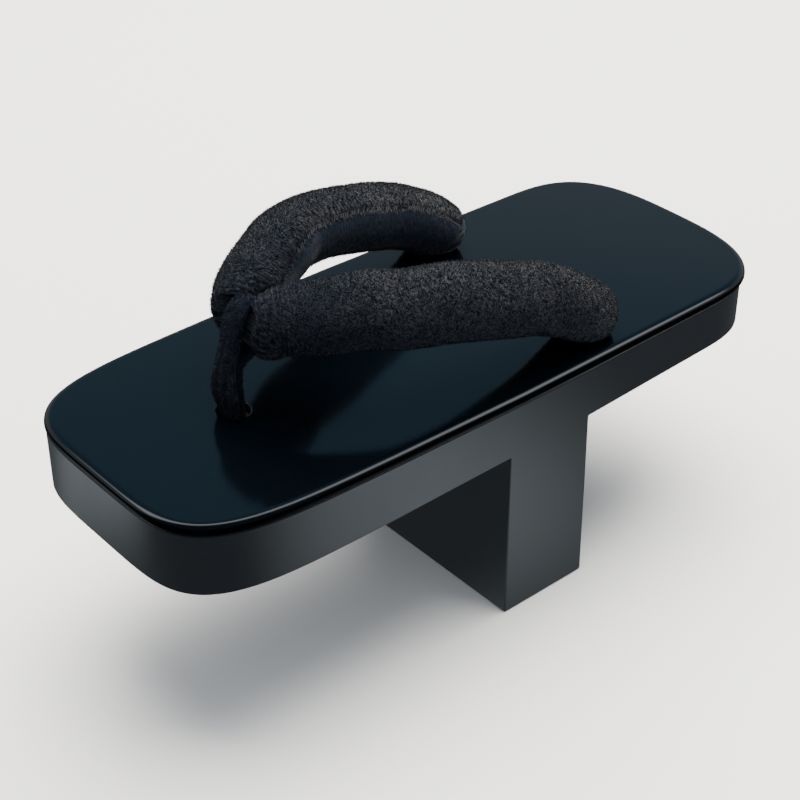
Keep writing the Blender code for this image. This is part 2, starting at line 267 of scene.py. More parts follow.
dust = add_node(marks, "ShaderNodeTexVoronoi", {"Randomness": 1.0})
speck = add_node(marks, "ShaderNodeMath", operation="LESS_THAN")
for node, size in ((patches, "Patch Size"), (peel, "Peel Size"), (dust, "Dust Size")):
    wire(marks, place, "Object", node, "Vector")
    wire(marks, group_in, size, node, "Scale")
wire(marks, dust, "Distance", speck, 0)
wire(marks, group_in, "Dust Share", speck, 1)
wire(marks, patches, "Fac", group_out, "Patches")
wire(marks, peel, "Fac", group_out, "Peel")
wire(marks, speck, 0, group_out, "Dust")

satin, tree, shader = new_material("satin_black_wood", SATIN_BLACK, 0.42)
worn = add_node(tree, "ShaderNodeGroup", node_tree=marks)
worn.inputs["Dust Share"].default_value = 0.02
grain_place = tree.nodes.new("ShaderNodeTexCoord")
stretch = add_node(tree, "ShaderNodeMapping", {"Scale": (260.0, 9.0, 260.0)})
grain = add_node(tree, "ShaderNodeTexNoise", {"Scale": 1.0, "Detail": 4.0, "Roughness": 0.55})
wire(tree, grain_place, "Object", stretch, "Vector")
wire(tree, stretch, "Vector", grain, "Vector")
tone = add_node(tree, "ShaderNodeMix", {"A": SATIN_BLACK, "B": SATIN_WORN}, data_type="RGBA")
wire(tree, worn, "Patches", tone, "Factor")
wire(tree, tone, "Result", shader, "Base Color")
gloss = add_node(tree, "ShaderNodeMapRange", {"To Min": 0.30, "To Max": 0.40})
wire(tree, worn, "Patches", gloss, "Value")
wire(tree, gloss, "Result", shader, "Roughness")
fibres = add_node(tree, "ShaderNodeBump", {"Strength": 0.10, "Distance": 0.0002})
wire(tree, grain, "Fac", fibres, "Height")
wire(tree, fibres, "Normal", shader, "Normal")
block.data.materials.append(satin)
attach(block, "root")
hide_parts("block")

# Top board: a thin board glued on the block, flush with it but for the heel, where it stands
# out a little. Its edge is rounded over, and it has many coats of polished black lacquer.
BOARD_TOP_ROUNDING = 0.0026
BOARD_LOWER_ROUNDING = 0.0005
HOLE_ROUNDING = 0.0005
ROUNDING_STEPS = 10
LACQUER_BLACK = (0.0005, 0.0012, 0.0020, 1)
LACQUER_CLOUD = (0.0009, 0.0017, 0.0027, 1)
DUST_GREY = (0.012, 0.013, 0.014, 1)
# painted shade: the near-black colour of the board's edge below its rounding
EDGE_PAINTED_SHADE = (0.0003, 0.0004, 0.0005, 1)
PAINTED_SHADE_DEPTH = 0.0013
PAINTED_SHADE_FADE = 0.0002


def inset(outline, distance):
    """The outline moved inwards along its normals."""
    moved = []
    for index, (x, y) in enumerate(outline):
        along = Vector(outline[(index + 1) % len(outline)]) - Vector(outline[index - 1])
        along.normalize()
        moved.append((x - along.y * distance, y + along.x * distance))
    return moved


outline = deck_outline(board_high.x, board_low.y, board_high.y)
profile = [(BOARD_LOWER_ROUNDING * 3, board_low.z)]
for step in range(ROUNDING_STEPS + 1):
    turn = math.pi / 2 * step / ROUNDING_STEPS
    profile.append((
        BOARD_LOWER_ROUNDING * (1 - math.sin(turn)),
        board_low.z + BOARD_LOWER_ROUNDING * (1 - math.cos(turn)),
    ))
for step in range(ROUNDING_STEPS + 1):
    turn = math.pi / 2 * step / ROUNDING_STEPS
    profile.append((
        BOARD_TOP_ROUNDING * (1 - math.cos(turn)),
        deck_top - BOARD_TOP_ROUNDING * (1 - math.sin(turn)),
    ))
profile.append((BOARD_TOP_ROUNDING * 1.2, deck_top))
bm = bmesh.new()
skin(bm, [[(x, y, z) for x, y in inset(outline, into)] for into, z in profile])
board = piece_from("lacquer_board", bm)
bm = bmesh.new()
for x, y in hole_places:
    rings = [level_circle(x, y, deck_top + HOLE_ROUNDING, HOLE_RADIUS + HOLE_ROUNDING)]
    for step in range(ROUNDING_STEPS + 1):
        turn = math.pi / 2 * step / ROUNDING_STEPS
        rings.append(level_circle(
            x, y, deck_top - HOLE_ROUNDING * (1 - math.cos(turn)),
            HOLE_RADIUS + HOLE_ROUNDING * (1 - math.sin(turn)),
        ))
    rings.append(level_circle(x, y, board_low.z - HOLE_ROUNDING, HOLE_RADIUS))
    skin(bm, rings)
cut(board, piece_from("board holes", bm))

lacquer, tree, shader = new_material("polished_lacquer", LACQUER_BLACK, 0.16)
worn = add_node(tree, "ShaderNodeGroup", node_tree=marks)
worn.inputs["Patch Size"].default_value = 22.0
worn.inputs["Dust Size"].default_value = 170.0
worn.inputs["Dust Share"].default_value = 0.035
tone = add_node(
    tree, "ShaderNodeMix", {"A": LACQUER_BLACK, "B": LACQUER_CLOUD}, data_type="RGBA",
)
dusty = add_node(tree, "ShaderNodeMix", {"B": DUST_GREY}, data_type="RGBA")
wire(tree, worn, "Patches", tone, "Factor")
wire(tree, tone, "Result", dusty, "A")
wire(tree, worn, "Dust", dusty, "Factor")
# below its rounding the board's edge is painted near black and barely reflects: painted shade for
# the black band under the rim
height = add_node(tree, "ShaderNodeSeparateXYZ")
height_place = tree.nodes.new("ShaderNodeTexCoord")
polished = add_node(tree, "ShaderNodeMapRange", {
    "From Min": deck_top - PAINTED_SHADE_DEPTH - PAINTED_SHADE_FADE, "From Max": deck_top - PAINTED_SHADE_DEPTH,
})
edge = add_node(tree, "ShaderNodeMix", {"A": EDGE_PAINTED_SHADE}, data_type="RGBA")
shine = add_node(tree, "ShaderNodeMapRange", {"To Min": 0.03, "To Max": 0.5})
wire(tree, height_place, "Object", height, "Vector")
wire(tree, height, "Z", polished, "Value")
wire(tree, polished, "Result", edge, "Factor")
wire(tree, dusty, "Result", edge, "B")
wire(tree, edge, "Result", shader, "Base Color")
wire(tree, polished, "Result", shine, "Value")
wire(tree, shine, "Result", shader, "Specular IOR Level")
gloss = add_node(tree, "ShaderNodeMapRange", {"To Min": 0.07, "To Max": 0.16})
wire(tree, worn, "Patches", gloss, "Value")
wire(tree, gloss, "Result", shader, "Roughness")
peeled = add_node(tree, "ShaderNodeBump", {"Strength": 0.05, "Distance": 0.0001})
wire(tree, worn, "Peel", peeled, "Height")
wire(tree, peeled, "Normal", shader, "Normal")
board.data.materials.append(lacquer)
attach(board, "root")
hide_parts("top_board")

# Thong: a tube of black velour, cut on the bias, sewn along its inner side and stuffed with
# cotton, in two fat rolls. They are gathered together at the toe loop, and each ends domed
# over its rear hole, where only its inner cord goes on down.
JOINT_Y = -0.0720
ROLL_RISE = 0.0343
ROLL_WIDTH = 0.0292
ROLL_DEPTH = 0.0256
NECK_WIDTH = 0.0130
NECK_DEPTH = 0.0170
NECK_HALF_LENGTH = 0.0054
# back, out, rise, width, depth, lean: shares of the sizes above, and degrees
ROLL_STATIONS = (
    (0.018, 0.000, 0.851, -0.270, 0.050, 0),
    (0.027, 0.043, 0.856, 0.489, 0.544, 2),
    (0.066, 0.103, 0.920, 0.719, 0.808, 6),
    (0.117, 0.226, 0.952, 0.831, 0.879, 11),
    (0.184, 0.374, 0.968, 0.875, 0.897, 16),
    (0.262, 0.511, 0.994, 0.922, 0.908, 20),
    (0.355, 0.694, 0.967, 0.968, 0.949, 21),
    (0.490, 0.796, 0.916, 0.995, 0.976, 22),
    (0.640, 0.876, 0.783, 0.979, 1.010, 22),
    (0.794, 0.914, 0.621, 0.897, 0.980, 21),
    (0.922, 0.942, 0.396, 0.836, 0.915, 20),
    (0.992, 0.955, 0.221, 0.776, 0.840, 20),
)
ROLL_TIP = (1.048, 1.084, 0.018)
ROLL_SIDES = 72
STEPS_PER_STATION = 16
DOME_STEPS = 12
DOME_END = 0.985
SEAM_TURN = math.radians(168)
SEAM_DEPTH = 0.0007
SEAM_HALF_WIDTH = 0.0011
SEAM_FADE_IN = 0.010
PUCKER_SPACING = 0.0016
RIB_SPACING = 0.0014
RIB_DEPTH = 0.00034
RIB_REACH = 0.0170
RIB_WAY = (0.575, 0.818, 0.0)
LUMP_HEIGHT = 0.00035
LUMP_SIZES = (0.030, 0.011)
LUMP_FADE_IN = 0.012
THIN_RADIUS = 0.006
COVER_SLACK = 0.0013
COVER_SIDES = 24
COVER_STEP = 5
PADDING_PRESSURE = 4.0
SWELL_FRAMES = 20
SWELL_CAP = 0.0014
SWELL_MEAN = 0.0010
REST_GAP = 0.0003
REST_SOFTNESS = 0.0022
LINING_START = math.radians(173)
LINING_END = math.radians(252)
LINING_EDGE = 5.0
COMBED_BACK = math.radians(60)
COMBED_FROM = 0.020
VELOUR_DARK = (0.0016, 0.0034, 0.0072, 1)
VELOUR_LIGHT = (0.0380, 0.0366, 0.0364, 1)
LINING_NAVY = (0.0044, 0.0082, 0.0150, 1)


def smooth_rows(rows, steps):
    """Rows on a Catmull-Rom curve through the given ones."""
    table = np.array(rows, float)
    padded = np.vstack([table[:1], table, table[-1:]])
    made = []
    for a, b, c, d in zip(padded, padded[1:], padded[2:], padded[3:]):
        for t in np.arange(steps) / steps:
            made.append(0.5 * (
                2 * b + (c - a) * t + (2 * a - 5 * b + 4 * c - d) * t ** 2
                + (3 * b - a - 3 * c + d) * t ** 3
            ))
    made.append(table[-1])
    return np.array(made)


def roll_point(back, out, rise):
    return np.array((
        NECK_HALF_LENGTH + (REAR_HOLE[0] - NECK_HALF_LENGTH) * out,
        JOINT_Y + (REAR_HOLE[1] - JOINT_Y) * back,
        deck_top + ROLL_RISE * rise,
    ))


def unit(vectors):
    return vectors / np.linalg.norm(vectors, axis=-1, keepdims=True)


def lump(points, size, seed):
    """Smooth pseudo-random swelling from a few crossed waves."""
    chance = np.random.default_rng(seed)
    total = np.zeros(points.shape[:-1])
    for _ in range(6):
        wave = unit(chance.normal(size=3)) * 2 * math.pi / size * chance.uniform(0.7, 1.5)
        total += np.sin(points @ wave + chance.uniform(0, 2 * math.pi))
    return total / 6


rows = smooth_rows(ROLL_STATIONS, STEPS_PER_STATION)
middles = np.array([roll_point(*row[:3]) for row in rows])
tip = roll_point(*ROLL_TIP)
widths = NECK_WIDTH + (ROLL_WIDTH - NECK_WIDTH) * rows[:, 3]
depths = NECK_DEPTH + (ROLL_DEPTH - NECK_DEPTH) * rows[:, 4]
leans = np.radians(rows[:, 5])
alongs = unit(np.vstack([middles[1:], tip]) - np.vstack([middles[:1], middles[:-1]]))
alongs[0] = (1, 0, 0)
for step in range(1, DOME_STEPS + 1):
    turn = math.pi / 2 * min(step / DOME_STEPS, DOME_END)
    last = len(rows) - 1
    middles = np.vstack([middles, middles[last] + (tip - middles[last]) * math.sin(turn)])
    widths = np.append(widths, widths[last] * math.cos(turn))
    depths = np.append(depths, depths[last] * math.cos(turn))
    leans = np.append(leans, leans[last])
    alongs = np.vstack([alongs, alongs[last]])
travel = np.concatenate([[0], np.cumsum(np.linalg.norm(np.diff(middles, axis=0), axis=1))])
outwards = unit(np.cross(alongs, (0, 0, 1)))
upwards = np.cross(outwards, alongs)
across = outwards * np.cos(leans)[:, None] - upwards * np.sin(leans)[:, None]
over = outwards * np.sin(leans)[:, None] + upwards * np.cos(leans)[:, None]
turns = SEAM_TURN + np.linspace(0, 2 * math.pi, ROLL_SIDES, endpoint=False)


def pressed_flat(points):
    """Points that would sink into the deck, or into the other roll, flattened softly there."""
    made = points.copy()
    for axis, limit in ((0, REST_GAP), (2, deck_top + REST_GAP)):
        sunk = np.minimum(points[..., axis] - limit - REST_SOFTNESS, 0)
        made[..., axis] -= sunk - REST_SOFTNESS * (np.exp(sunk / REST_SOFTNESS) - 1)
    return made


reach = (
    across[:, None] * (widths[:, None, None] / 2 * np.cos(turns)[None, :, None])
    + over[:, None] * (depths[:, None, None] / 2 * np.sin(turns)[None, :, None])
)
radius = np.linalg.norm(reach, axis=2)
outward_way = unit(reach)
slack = outward_way * np.minimum(COVER_SLACK, radius / 4)[..., None]
smooth_roll = pressed_flat(middles[:, None] + reach - slack)

# The cover is blown up by its padding: a cloth tube with pressure inside, held at the toe loop
# and at its end. How far each point swells is capped, and is then read onto the finer roll.
cover_rings = list(range(0, len(middles), COVER_STEP))
cover_rings[-1] = len(middles) - 1
cover_columns = range(0, ROLL_SIDES, ROLL_SIDES // COVER_SIDES)
swell = slack * SWELL_MEAN / COVER_SLACK
coarse = smooth_roll[cover_rings][:, list(cover_columns)]
bm = bmesh.new()
skin(bm, coarse)
cover = piece_from("padding cover", bm)
pins = cover.vertex_groups.new(name="held")
held_rings = (0, 1, len(cover_rings) - 1)
pins.add([ring * COVER_SIDES + side for ring in held_rings for side in range(COVER_SIDES)],
         1.0, "REPLACE")
cloth = cover.modifiers.new("padding", "CLOTH")
cloth.settings.quality = 6
cloth.settings.use_pressure = True
cloth.settings.uniform_pressure_force = PADDING_PRESSURE
cloth.settings.effector_weights.gravity = 0.0
cloth.settings.vertex_group_mass = "held"
cloth.collision_settings.use_collision = False
for frame_number in range(1, SWELL_FRAMES + 1):
    bpy.context.scene.frame_set(frame_number)
graph = bpy.context.evaluated_depsgraph_get()
blown = bpy.data.meshes.new_from_object(cover.evaluated_get(graph), depsgraph=graph)
moved = np.array([vertex.co for vertex in blown.vertices]).reshape(coarse.shape) - coarse
outward = (moved * outward_way[cover_rings][:, list(cover_columns)]).sum(axis=2)
moved *= min(SWELL_MEAN / max(outward[4:-4].mean(), 1e-5), 4.0)
far = np.linalg.norm(moved, axis=2, keepdims=True)
moved *= np.minimum(1, SWELL_CAP / np.maximum(far, 1e-9))
bpy.data.objects.remove(cover)
bpy.context.scene.frame_set(1)
ring_numbers = np.arange(len(middles))
side_numbers = np.arange(ROLL_SIDES)
wrapped = np.concatenate([moved, moved[:, :1]], axis=1)
columns = list(cover_columns) + [ROLL_SIDES]
for axis in range(3):
    by_side = np.array([np.interp(side_numbers, columns, row) for row in wrapped[..., axis]])
    swell[..., axis] = np.array([
        np.interp(ring_numbers, cover_rings, column) for column in by_side.T]).T


def roll_grid(seed, mirror):
    """Points of one roll, ring by ring, with its seam, wrinkles and small lumps."""
    along_rib = (smooth_roll - middles[0]) @ unit(np.array(RIB_WAY))
    start = np.clip(1 - np.abs(along_rib) / RIB_REACH, 0, 1)
    wander = 0.7 * np.sin(2 * turns + seed) + 0.5 * np.sin(5 * turns + 2 * seed)
    ribs = np.sin(along_rib / RIB_SPACING * 2 * math.pi + wander)
    ribs = ribs * (0.75 + 0.25 * np.sin(3 * turns + along_rib / 0.004))
    change = RIB_DEPTH * ribs * start ** 0.6
    arc = np.abs((turns - SEAM_TURN + math.pi) % (2 * math.pi) - math.pi)[None] * radius
    seam = np.exp(-(arc / SEAM_HALF_WIDTH) ** 2)
    pucker = 1 + 0.3 * np.sin(travel / PUCKER_SPACING)[:, None]
    change = change - SEAM_DEPTH * seam * pucker * np.clip(travel / SEAM_FADE_IN, 0, 1)[:, None]
    points = smooth_roll + swell
    swelling = lump(points, LUMP_SIZES[0], seed) + 0.45 * lump(points, LUMP_SIZES[1], seed + 1)
    change = change + LUMP_HEIGHT * swelling * np.clip(travel / LUMP_FADE_IN, 0, 1)[:, None]
    change = change * np.clip(radius / THIN_RADIUS, 0, 1)
    points = pressed_flat(points + outward_way * change[..., None])
    if mirror:
        points = points * np.array((-1, 1, 1))
    return points


right_roll = roll_grid(3, False)
left_roll = roll_grid(8, True)
rings = [ring for ring in left_roll[::-1]] + [ring for ring in right_roll]
bm = bmesh.new()
skin(bm, rings)
thong = piece_from("velour_thong", bm)

# What the cloth needs to know at each point: its place round and along the roll, which way the
# pile lies, and where the smooth lining takes the velour's place under the seam.
cloth_place = np.zeros(radius.shape + (3,))
cloth_place[..., 0] = (turns - SEAM_TURN) * radius.max()
cloth_place[..., 1] = travel[:, None]
facing = (np.cos(turns - COMBED_BACK)[None]
          - np.clip(1 - travel / COMBED_FROM, 0, 1)[:, None])
combed = 1 - np.clip((facing - 0.1) / 0.6, 0, 1)
edges = np.degrees(np.minimum(turns - LINING_START, LINING_END - turns)) / LINING_EDGE
lining = np.clip(edges[None] * np.ones_like(radius), 0, 1)


def mark_cloth(mesh, values):
    """Stores named values at a mesh's points: single numbers or vectors."""
    for name, value in values.items():
        kind = "FLOAT" if value.ndim == 1 else "FLOAT_VECTOR"
        made = mesh.attributes.new(name, kind, "POINT")
        made.data.foreach_set("value" if value.ndim == 1 else "vector", value.ravel())


def roll_values(points):
    """The cloth's values for one roll, ring by ring."""
    lie = unit(np.roll(points, -1, axis=1) - np.roll(points, 1, axis=1))
    return {
        "cloth_place": cloth_place.reshape(-1, 3), "lie": (lie * combed[..., None]).reshape(-1, 3),
        "combed": combed.ravel(), "lining": lining.ravel(),
    }


whole = [np.concatenate([a.reshape((-1, ROLL_SIDES) + a.shape[1:])[::-1].reshape(a.shape), b])
         for a, b in zip(roll_values(left_roll).values(), roll_values(right_roll).values())]
mark_cloth(thong.data, dict(zip(roll_values(right_roll), whole)))

# Nap of the velour, shared by the rolls and the toe loop: tufts that lean this way and that,
# darker in between, with broad patches where the pile was stroked, and a painted sheen that makes
# each roll paler towards its rear.
nap = bpy.data.node_groups.new("cloth_nap", "ShaderNodeTree")
for socket_name, default in (("Grain Size", 1.0), ("Patch Size", 38.0)):
    made = nap.interface.new_socket(
        socket_name, in_out="INPUT", socket_type="NodeSocketFloat")
    made.default_value = default
for socket_name in ("Tone", "Height", "Lining"):
    nap.interface.new_socket(socket_name, in_out="OUTPUT", socket_type="NodeSocketFloat")
group_in = nap.nodes.new("NodeGroupInput")
group_out = nap.nodes.new("NodeGroupOutput")
place = nap.nodes.new("ShaderNodeTexCoord")
unrolled = add_node(nap, "ShaderNodeAttribute", attribute_name="cloth_place")
combed_here = add_node(nap, "ShaderNodeAttribute", attribute_name="combed")
lined_here = add_node(nap, "ShaderNodeAttribute", attribute_name="lining")
stretch = add_node(nap, "ShaderNodeMapping", {"Scale": (420.0, 1500.0, 1.0)})
streaks = add_node(nap, "ShaderNodeTexNoise", {"Detail": 2.0, "Distortion": 0.5})
curls = add_node(nap, "ShaderNodeTexNoise", {"Scale": 900.0, "Detail": 2.0, "Distortion": 1.6})
strokes = add_node(nap, "ShaderNodeTexNoise", {"Detail": 3.0, "Distortion": 0.6})
grain = add_node(nap, "ShaderNodeMix", data_type="FLOAT")
crisp = add_node(nap, "ShaderNodeMapRange", {"From Min": 0.40, "From Max": 0.66})
shade = add_node(nap, "ShaderNodeMapRange", {
    "From Min": 0.30, "From Max": 0.70, "To Min": 0.45, "To Max": 1.0})
both = add_node(nap, "ShaderNodeMath", operation="MULTIPLY")
paler = add_node(nap, "ShaderNodeMath", operation="MULTIPLY")
how_far = add_node(nap, "ShaderNodeSeparateXYZ")
# painted sheen: the velour's tone rises towards the rear of each roll
painted_sheen_rearwards = add_node(nap, "ShaderNodeMapRange", {
    "From Min": 0.02, "From Max": 0.13, "To Min": 0.72, "To Max": 1.60})
smooth_lining = add_node(nap, "ShaderNodeMapRange", {"To Min": 1.0, "To Max": 0.25})
relief = add_node(nap, "ShaderNodeMath", operation="MULTIPLY")
wire(nap, unrolled, "Vector", how_far, "Vector")
wire(nap, how_far, "Y", painted_sheen_rearwards, "Value")
wire(nap, lined_here, "Fac", smooth_lining, "Value")
wire(nap, grain, "Result", relief, 0)
wire(nap, smooth_lining, "Result", relief, 1)
wire(nap, unrolled, "Vector", stretch, "Vector")
wire(nap, stretch, "Vector", streaks, "Vector")
wire(nap, group_in, "Grain Size", streaks, "Scale")
wire(nap, place, "Object", curls, "Vector")
wire(nap, place, "Object", strokes, "Vector")
wire(nap, group_in, "Patch Size", strokes, "Scale")
wire(nap, combed_here, "Fac", grain, "Factor")
wire(nap, curls, "Fac", grain, "A")
wire(nap, streaks, "Fac", grain, "B")
wire(nap, grain, "Result", crisp, "Value")
wire(nap, strokes, "Fac", shade, "Value")
wire(nap, crisp, "Result", both, 0)
wire(nap, shade, "Result", both, 1)
wire(nap, both, 0, paler, 0)
wire(nap, painted_sheen_rearwards, "Result", paler, 1)
wire(nap, paler, 0, group_out, "Tone")
wire(nap, relief, 0, group_out, "Height")
wire(nap, lined_here, "Fac", group_out, "Lining")


def nap_material(name, dark, light, grain_size):
    """Velour in two tones, over to its plain lining where there is one."""
    material, tree, shader = new_material(name, dark, 0.85)
    shader.inputs["Sheen Roughness"].default_value = 0.45
    shader.inputs["Sheen Tint"].default_value = (0.80, 0.76, 0.74, 1)
    shader.inputs["Specular IOR Level"].default_value = 0.10
    cloth = add_node(tree, "ShaderNodeGroup", {"Grain Size": grain_size}, node_tree=nap)
    tone = add_node(tree, "ShaderNodeMix", {"A": dark, "B": light}, data_type="RGBA")
    lined = add_node(tree, "ShaderNodeMix", {"B": LINING_NAVY}, data_type="RGBA")
    gleam = add_node(tree, "ShaderNodeMapRange", {"To Min": 0.03, "To Max": 0.20})
    wire(tree, cloth, "Tone", tone, "Factor")
    wire(tree, tone, "Result", lined, "A")
    wire(tree, cloth, "Lining", lined, "Factor")
    wire(tree, lined, "Result", shader, "Base Color")
    wire(tree, cloth, "Tone", gleam, "Value")
    wire(tree, gleam, "Result", shader, "Sheen Weight")
    raised = add_node(tree, "ShaderNodeBump", {"Strength": 0.9, "Distance": 0.0007})
    wire(tree, cloth, "Height", raised, "Height")
    wire(tree, raised, "Normal", shader, "Normal")
    return material


velour = nap_material("black_velour", VELOUR_DARK, VELOUR_LIGHT, 1.0)
thong.data.materials.append(velour)
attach(thong, "root")
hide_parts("thong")

# Pile of the thong: the velour's short fibres, in small tufts set close together, woven into
# the cover. They lie round the rolls, ruffled by use, and the lining has next to none.
PILE_PER_SQUARE_METRE = 3.6e6
PILE_LENGTH = 0.00085
PILE_RADIUS = 0.00014
PILE_STAND = 0.75
PILE_RUFFLE = 0.75
PILE_SIZES = (0.6, 1.25)
LINING_PILE = 0.05
PILE_SEED = 4


def scattering(name, kinds, material):
    """A tree that sets one small form on many points, turned along a vector, as a plain mesh."""
    tree = bpy.data.node_groups.new(name, "GeometryNodeTree")
    sockets = {}
    for socket_name, kind in kinds:
        made = tree.interface.new_socket(socket_name, in_out="INPUT", socket_type=kind)
        sockets[socket_name] = made.identifier
    tree.interface.new_socket("Geometry", in_out="OUTPUT", socket_type="NodeSocketGeometry")
    entry = tree.nodes.new("NodeGroupInput")
    leave = tree.nodes.new("NodeGroupOutput")
    turned = add_node(tree, "FunctionNodeAlignRotationToVector", axis="Z")
    plant = tree.nodes.new("GeometryNodeInstanceOnPoints")
    real = tree.nodes.new("GeometryNodeRealizeInstances")
    dress = add_node(tree, "GeometryNodeSetMaterial", {"Material": material})
    wire(tree, turned, "Rotation", plant, "Rotation")
    wire(tree, plant, "Instances", real, "Geometry")
    wire(tree, real, "Geometry", dress, "Geometry")
    wire(tree, dress, "Geometry", leave, "Geometry")
    return tree, sockets, entry, turned, plant


def scatter(piece, label, tree, sockets, values):
    """Runs a scattering tree on a piece, with values for its named inputs."""
    maker = piece.modifiers.new(label, "NODES")
    maker.node_group = tree
    for socket_name, value in values.items():
        maker[sockets[socket_name]] = value
    settle(piece)


def grow_pile(source, name, density, length, radius, material):
    """Short fibres all over a piece that lie as its cloth says."""
    tree, sockets, entry, turned, plant = scattering(name, (
        ("Geometry", "NodeSocketGeometry"), ("Density", "NodeSocketFloat"),
        ("Length", "NodeSocketFloat"), ("Radius", "NodeSocketFloat"), ("Seed", "NodeSocketInt"),
    ), material)
    spread = tree.nodes.new("GeometryNodeDistributePointsOnFaces")
    fibre = add_node(tree, "GeometryNodeMeshCone", {"Vertices": 3, "Radius Top": 0.0},
                     fill_type="NGON")
    swing = add_node(tree, "FunctionNodeRandomValue", {
        0: (-PILE_RUFFLE,) * 3, 1: (PILE_RUFFLE,) * 3}, data_type="FLOAT_VECTOR")
    sizes = add_node(tree, "FunctionNodeRandomValue", {
        2: PILE_SIZES[0], 3: PILE_SIZES[1]}, data_type="FLOAT")
    lie = add_node(tree, "GeometryNodeInputNamedAttribute", {"Name": "lie"},
                   data_type="FLOAT_VECTOR")
    lined = add_node(tree, "GeometryNodeInputNamedAttribute", {"Name": "lining"},
                     data_type="FLOAT")
    kept = add_node(tree, "ShaderNodeMapRange", {"To Min": 1.0, "To Max": LINING_PILE})
    thinned = add_node(tree, "ShaderNodeMath", operation="MULTIPLY")
    stand = add_node(tree, "ShaderNodeVectorMath", {"Scale": PILE_STAND}, operation="SCALE")
    leaning = add_node(tree, "ShaderNodeVectorMath", operation="ADD")
    ruffled = add_node(tree, "ShaderNodeVectorMath", operation="ADD")
    wire(tree, entry, "Geometry", spread, "Mesh")
    wire(tree, lined, "Attribute", kept, "Value")
    wire(tree, entry, "Density", thinned, 0)
    wire(tree, kept, "Result", thinned, 1)
    wire(tree, thinned, 0, spread, "Density")
    for node in (spread, swing, sizes):
        wire(tree, entry, "Seed", node, "Seed")
    wire(tree, entry, "Length", fibre, "Depth")
    wire(tree, entry, "Radius", fibre, "Radius Bottom")
    wire(tree, spread, "Normal", stand, 0)
    wire(tree, stand, 0, leaning, 0)
    wire(tree, lie, "Attribute", leaning, 1)
    wire(tree, leaning, 0, ruffled, 0)
    wire(tree, swing, 0, ruffled, 1)
    wire(tree, ruffled, 0, turned, "Vector")
    wire(tree, spread, "Points", plant, "Points")
    wire(tree, fibre, "Mesh", plant, "Instance")
    wire(tree, sizes, 1, plant, "Scale")
    pile = bpy.data.objects.new(name, source.data.copy())
    bpy.context.scene.collection.objects.link(pile)
    scatter(pile, "pile", tree, sockets, {
        "Density": density, "Length": length, "Radius": radius, "Seed": PILE_SEED})
    return pile


pile_cloth = nap_material("velour_pile", VELOUR_DARK, VELOUR_LIGHT, 1.0)
for side_name, rings in (("right", right_roll), ("left", left_roll)):
    bm = bmesh.new()
    skin(bm, rings, first_cap=False)
    bare = piece_from("bare roll", bm)
    mark_cloth(bare.data, roll_values(rings))
    grown = grow_pile(bare, side_name + "_roll_pile", PILE_PER_SQUARE_METRE, PILE_LENGTH,
                      PILE_RADIUS, pile_cloth)
    bpy.data.objects.remove(bare)
    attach(grown, "root")

# Stitches: the ladder stitch of black thread that closes each roll along its lining, pulled
# tight into the cloth, so that only some of it shows between the tufts.
STITCH_SPACING = 0.00105
STITCH_LENGTH = 0.0016
STITCH_RADIUS = 0.00017
STITCH_SHARE = 0.62
STITCH_START = 0.030
STITCH_END_GAP = 0.010
STITCH_LIFT = 0.0005
STITCH_SLANT = 0.7
STITCH_SEED = 5
THREAD_GREY = (0.030, 0.034, 0.040, 1)


def sew(path_points, slants, name, material):
    """One small bar of thread across the seam at each point, some left out."""
    tree, sockets, entry, turned, plant = scattering(name, (
        ("Geometry", "NodeSocketGeometry"), ("Length", "NodeSocketFloat"),
        ("Radius", "NodeSocketFloat"), ("Share", "NodeSocketFloat"), ("Seed", "NodeSocketInt"),
    ), material)
    points = tree.nodes.new("GeometryNodeMeshToPoints")
    bar = add_node(tree, "GeometryNodeMeshCylinder", {"Vertices": 6}, fill_type="NGON")
    slant = add_node(tree, "GeometryNodeInputNamedAttribute", {"Name": "slant"},
                     data_type="FLOAT_VECTOR")
    chosen = add_node(tree, "FunctionNodeRandomValue", data_type="BOOLEAN")
    wire(tree, entry, "Geometry", points, "Mesh")
    wire(tree, entry, "Length", bar, "Depth")
    wire(tree, entry, "Radius", bar, "Radius")
    wire(tree, entry, "Share", chosen, "Probability")
    wire(tree, entry, "Seed", chosen, "Seed")
    wire(tree, points, "Points", plant, "Points")
    wire(tree, chosen, 3, plant, "Selection")
    wire(tree, bar, "Mesh", plant, "Instance")
    wire(tree, slant, "Attribute", turned, "Vector")
    mesh = bpy.data.meshes.new(name)
    mesh.from_pydata(path_points.tolist(), [], [])
    mark_cloth(mesh, {"slant": slants})
    row = bpy.data.objects.new(name, mesh)
    bpy.context.scene.collection.objects.link(row)
    scatter(row, "stitches", tree, sockets, {
        "Length": STITCH_LENGTH, "Radius": STITCH_RADIUS, "Share": STITCH_SHARE,
        "Seed": STITCH_SEED})
    return row


thread, tree, shader = new_material("black_thread", THREAD_GREY, 0.55)
fray_place = tree.nodes.new("ShaderNodeTexCoord")
fray = add_node(tree, "ShaderNodeTexNoise", {"Scale": 2500.0, "Detail": 2.0})
dull = add_node(tree, "ShaderNodeMapRange", {"To Min": 0.45, "To Max": 0.85})
wire(tree, fray_place, "Object", fray, "Vector")
wire(tree, fray, "Fac", dull, "Value")
wire(tree, dull, "Result", shader, "Roughness")
for side_name, points in (("right", right_roll), ("left", left_roll)):
    marks_along = np.arange(
        STITCH_START, travel[len(rows)] - STITCH_END_GAP, STITCH_SPACING)
    seam_line = np.stack([
        np.interp(marks_along, travel, points[:, 0, axis]) for axis in range(3)], axis=1)
    seam_lift = np.stack([
        np.interp(marks_along, travel, outward_way[:, 0, axis]) for axis in range(3)], axis=1)
    if side_name == "left":
        seam_lift = seam_lift * np.array((-1, 1, 1))
    crossing = unit(np.cross(seam_lift, np.gradient(seam_line, axis=0)))
    slants = unit(crossing + STITCH_SLANT * unit(np.gradient(seam_line, axis=0)))
    stitches = sew(seam_line + seam_lift * STITCH_LIFT, slants, side_name + "_roll_stitches",
                   thread)
    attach(stitches, "root")

